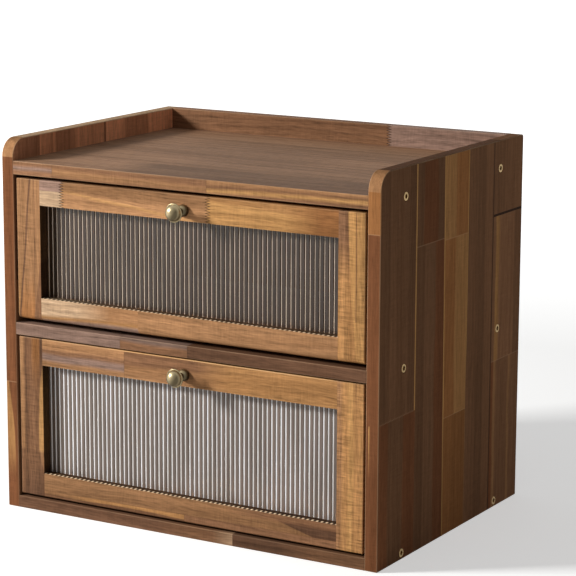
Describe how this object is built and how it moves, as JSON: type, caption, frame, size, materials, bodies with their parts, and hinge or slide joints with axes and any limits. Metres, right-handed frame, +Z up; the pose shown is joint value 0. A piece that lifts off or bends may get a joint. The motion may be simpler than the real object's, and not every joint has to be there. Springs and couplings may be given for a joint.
{
  "type": "bread box with drawer",
  "caption": "Wooden countertop bread box with a drop-front door over a pull-out drawer, both with fluted windows, and a railed tray on top.",
  "frame": {"origin": "centre of the flat underside of the carcass, on the surface that the box stands on", "axes": "+Z up, -Y out of the front where the knobs are, +X to the right when facing the front"},
  "size_m": [0.38, 0.2906, 0.336],
  "materials": {
    "side_board": "oiled dark acacia staves, butt and finger jointed, satin",
    "top_board": "oiled acacia, grain across the width, satin",
    "shelf_board": "oiled acacia, grain across the width, satin",
    "back_board": "oiled acacia, grain across the width, matt",
    "front_frame": "oiled golden acacia with dark streaks, finger jointed, satin",
    "drawer_box": "plain acacia, matt",
    "fluted_glass": "clear, with upright flutes on its outer face",
    "antique_brass": "antique brass with dark patina in its hollows",
    "screw_bronze": "bronzed, satin",
    "steel": "plain zinc-plated steel",
    "catch_plastic": "brown moulded plastic, fine matt",
    "magnet": "dark sintered ferrite, matt"
  },
  "bodies": {
    "carcass": {"left_side": "side_board", "right_side": "side_board", "top_board": "top_board", "middle_shelf": "shelf_board", "bottom_board": "shelf_board", "back_panel": "back_board", "side_screw_left_top_front": "screw_bronze", "side_screw_left_top_rear": "screw_bronze", "side_screw_left_middle_front": "screw_bronze", "side_screw_left_middle_rear": "screw_bronze", "side_screw_left_bottom_front": "screw_bronze", "side_screw_left_bottom_rear": "screw_bronze", "side_screw_right_top_front": "screw_bronze", "side_screw_right_top_rear": "screw_bronze", "side_screw_right_middle_front": "screw_bronze", "side_screw_right_middle_rear": "screw_bronze", "side_screw_right_bottom_front": "screw_bronze", "side_screw_right_bottom_rear": "screw_bronze", "back_screw_top_left": "screw_bronze", "back_screw_top_right": "screw_bronze", "back_screw_middle_left": "screw_bronze", "back_screw_middle_right": "screw_bronze", "back_screw_bottom_left": "screw_bronze", "back_screw_bottom_right": "screw_bronze", "hinge_pin_left": "steel", "hinge_pin_right": "steel", "catch_case": "catch_plastic", "catch_magnet": "magnet", "catch_screw": "steel", "drawer_runner_left": "drawer_box", "drawer_runner_right": "drawer_box", "drawer_stop": "drawer_box"},
    "door": {"door_stile_left": "front_frame", "door_stile_right": "front_frame", "door_rail_top": "front_frame", "door_rail_bottom": "front_frame", "door_window": "fluted_glass", "door_bead_top": "front_frame", "door_bead_bottom": "front_frame", "door_bead_left": "front_frame", "door_bead_right": "front_frame", "door_knob": "antique_brass", "door_knob_screw": "steel", "door_strike_plate": "steel", "door_strike_screw": "steel"},
    "drawer": {"drawer_stile_left": "front_frame", "drawer_stile_right": "front_frame", "drawer_rail_top": "front_frame", "drawer_rail_bottom": "front_frame", "drawer_window": "fluted_glass", "drawer_bead_top": "front_frame", "drawer_bead_bottom": "front_frame", "drawer_bead_left": "front_frame", "drawer_bead_right": "front_frame", "drawer_knob": "antique_brass", "drawer_knob_screw": "steel", "drawer_side_left": "drawer_box", "drawer_side_right": "drawer_box", "drawer_back": "drawer_box", "drawer_floor": "drawer_box"}
  },
  "joints": [
    {"name": "door_hinge", "type": "hinge", "parent": "carcass", "child": "door", "pos_m": [0, -0.125, 0.181], "axis": [1, 0, 0], "range_deg": [0, 90]},
    {"name": "drawer_slide", "type": "slide", "parent": "carcass", "child": "drawer", "axis": [0, -1, 0], "range_m": [0, 0.18]}
  ]
}
